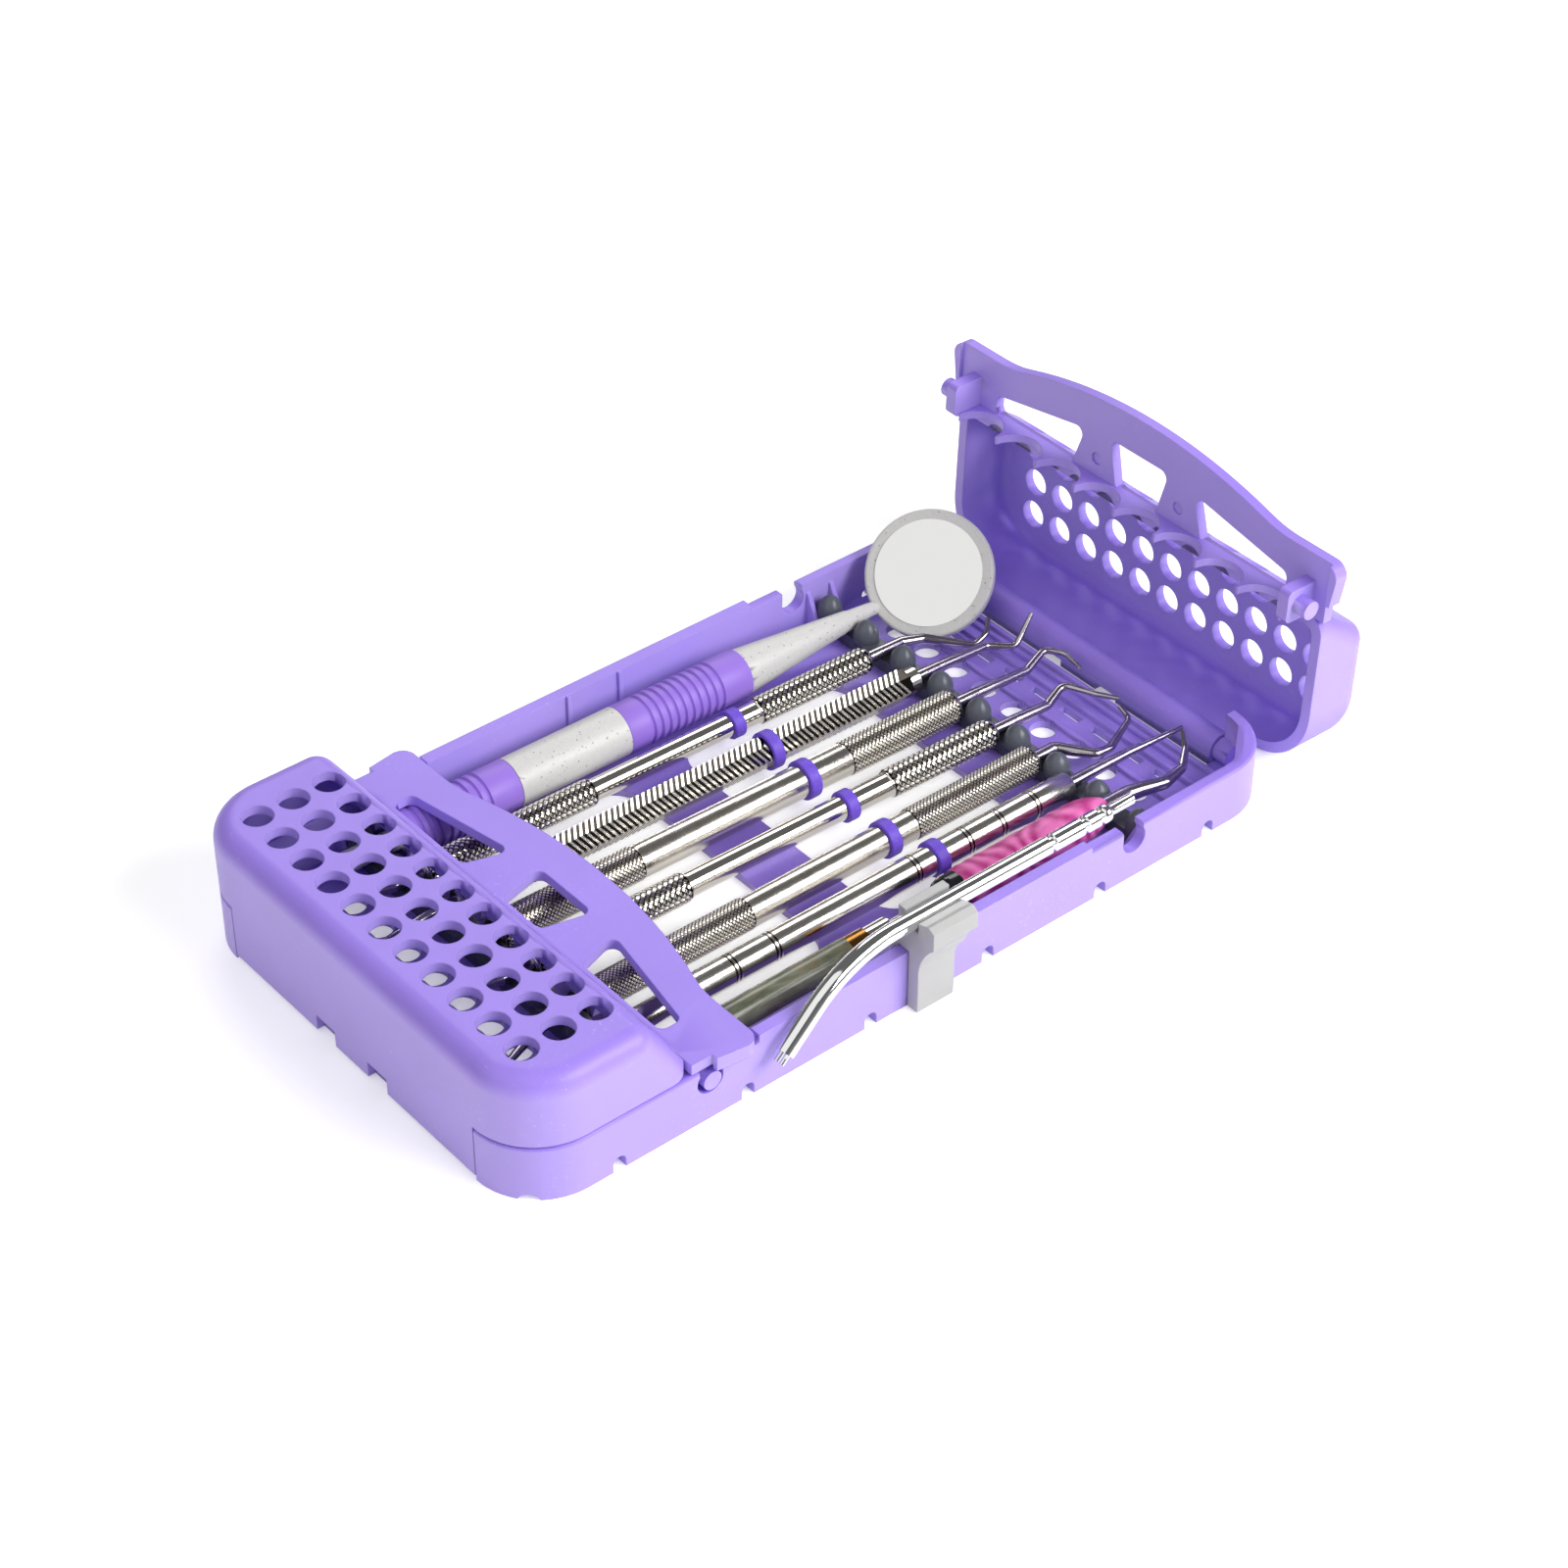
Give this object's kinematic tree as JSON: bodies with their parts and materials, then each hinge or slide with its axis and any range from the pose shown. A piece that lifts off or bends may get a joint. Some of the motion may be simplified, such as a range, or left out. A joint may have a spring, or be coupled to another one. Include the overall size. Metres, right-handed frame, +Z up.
{
  "type": "instrument cassette",
  "caption": "Perforated purple tray with two hinged end covers, pegged silicone rails, a side clip with a bent tube, and dental hand instruments lying side by side.",
  "frame": {"origin": "middle of the tray's underside", "axes": "+X along the instruments towards the open cover, +Y towards the back wall, +Z up"},
  "size_m": [0.2297, 0.1248, 0.0637],
  "materials": {
    "purple_plastic": "moulded, satin",
    "dark_silicone": "matte",
    "ring_silicone": "matte",
    "grip_silicone": "matte",
    "speckled_plastic": "moulded, fine dark specks",
    "mirror_glass": "silvered",
    "polished_steel": "polished",
    "satin_steel": "turned, knurled",
    "pink_silicone": "marbled, satin",
    "black_plastic": "gloss",
    "gold_band": "polished",
    "olive_resin": "clear coated",
    "clip_plastic": "moulded, satin"
  },
  "bodies": {
    "tray": {"tray": "purple_plastic", "left_peg_rail": "dark_silicone", "right_peg_rail": "dark_silicone"},
    "left_cover": {"left_cover": "purple_plastic"},
    "right_cover": {"right_cover": "purple_plastic"},
    "mirror": {"mirror_handle": "speckled_plastic", "mirror_glass": "mirror_glass", "mirror_front_grip": "grip_silicone", "mirror_rear_grip": "grip_silicone"},
    "slim_instrument": {"slim_handle": "polished_steel", "slim_ring": "ring_silicone", "slim_right_tip": "polished_steel", "slim_left_tip": "polished_steel"},
    "hex_instrument": {"hex_handle": "satin_steel", "hex_ring": "ring_silicone", "hex_right_tip": "polished_steel", "hex_left_tip": "polished_steel"},
    "wide_instrument": {"wide_handle": "satin_steel", "wide_ring": "ring_silicone", "wide_right_tip": "polished_steel", "wide_left_tip": "polished_steel"},
    "polished_instrument": {"polished_handle": "polished_steel", "polished_ring": "ring_silicone", "polished_right_tip": "polished_steel", "polished_left_tip": "polished_steel"},
    "satin_instrument": {"satin_handle": "satin_steel", "satin_ring": "ring_silicone", "satin_right_tip": "polished_steel", "satin_left_tip": "polished_steel"},
    "tube_instrument": {"tube_handle": "satin_steel", "tube_ring": "ring_silicone", "tube_right_tip": "polished_steel", "tube_left_tip": "polished_steel"},
    "grip_instrument": {"silicone_grip": "pink_silicone", "grip_bolster": "black_plastic", "chrome_ferrule": "polished_steel", "gold_band": "gold_band", "olive_handle": "olive_resin", "grip_right_tip": "polished_steel", "grip_left_tip": "polished_steel"},
    "clip": {"wall_clip": "clip_plastic"},
    "tube": {"syringe_tip": "polished_steel"}
  },
  "joints": [
    {"name": "left_cover_hinge", "type": "hinge", "parent": "tray", "child": "left_cover", "pos_m": [-0.0996, 0, 0.0044], "axis": [0, -1, 0], "range_deg": [0, 92]},
    {"name": "right_cover_hinge", "type": "hinge", "parent": "tray", "child": "right_cover", "pos_m": [0.0996, 0, 0.0044], "axis": [0, 1, 0], "range_deg": [-92, 0]},
    {"name": "mirror_roll", "type": "hinge", "parent": "tray", "child": "mirror", "pos_m": [0, 0.04395, 0.00795], "axis": [-0.9999, 0.0127, 0], "range_deg": [0, 6]},
    {"name": "slim_lift", "type": "hinge", "parent": "tray", "child": "slim_instrument", "pos_m": [-0.0654, 0.03175, 0.0069], "axis": [0, -1, 0], "range_deg": [0, 5]},
    {"name": "hex_lift", "type": "hinge", "parent": "tray", "child": "hex_instrument", "pos_m": [-0.0654, 0.01905, 0.0069], "axis": [0, -1, 0], "range_deg": [0, 5]},
    {"name": "wide_lift", "type": "hinge", "parent": "tray", "child": "wide_instrument", "pos_m": [-0.0654, 0.00635, 0.0069], "axis": [0, -1, 0], "range_deg": [0, 5]},
    {"name": "polished_lift", "type": "hinge", "parent": "tray", "child": "polished_instrument", "pos_m": [-0.0654, -0.00635, 0.0069], "axis": [0, -1, 0], "range_deg": [0, 5]},
    {"name": "satin_lift", "type": "hinge", "parent": "tray", "child": "satin_instrument", "pos_m": [-0.0654, -0.01905, 0.0069], "axis": [0, -1, 0], "range_deg": [0, 5]},
    {"name": "tube_lift", "type": "hinge", "parent": "tray", "child": "tube_instrument", "pos_m": [-0.0654, -0.03175, 0.0069], "axis": [0, -1, 0], "range_deg": [0, 5]},
    {"name": "grip_lift", "type": "hinge", "parent": "tray", "child": "grip_instrument", "pos_m": [-0.0654, -0.04445, 0.0079], "axis": [0, -1, 0], "range_deg": [0, 5]},
    {"name": "clip_lift", "type": "slide", "parent": "tray", "child": "clip", "axis": [0, 0, 1], "range_m": [0, 0.02]},
    {"name": "syringe_lift", "type": "slide", "parent": "clip", "child": "tube", "axis": [0, 0, 1], "range_m": [0, 0.02]}
  ]
}
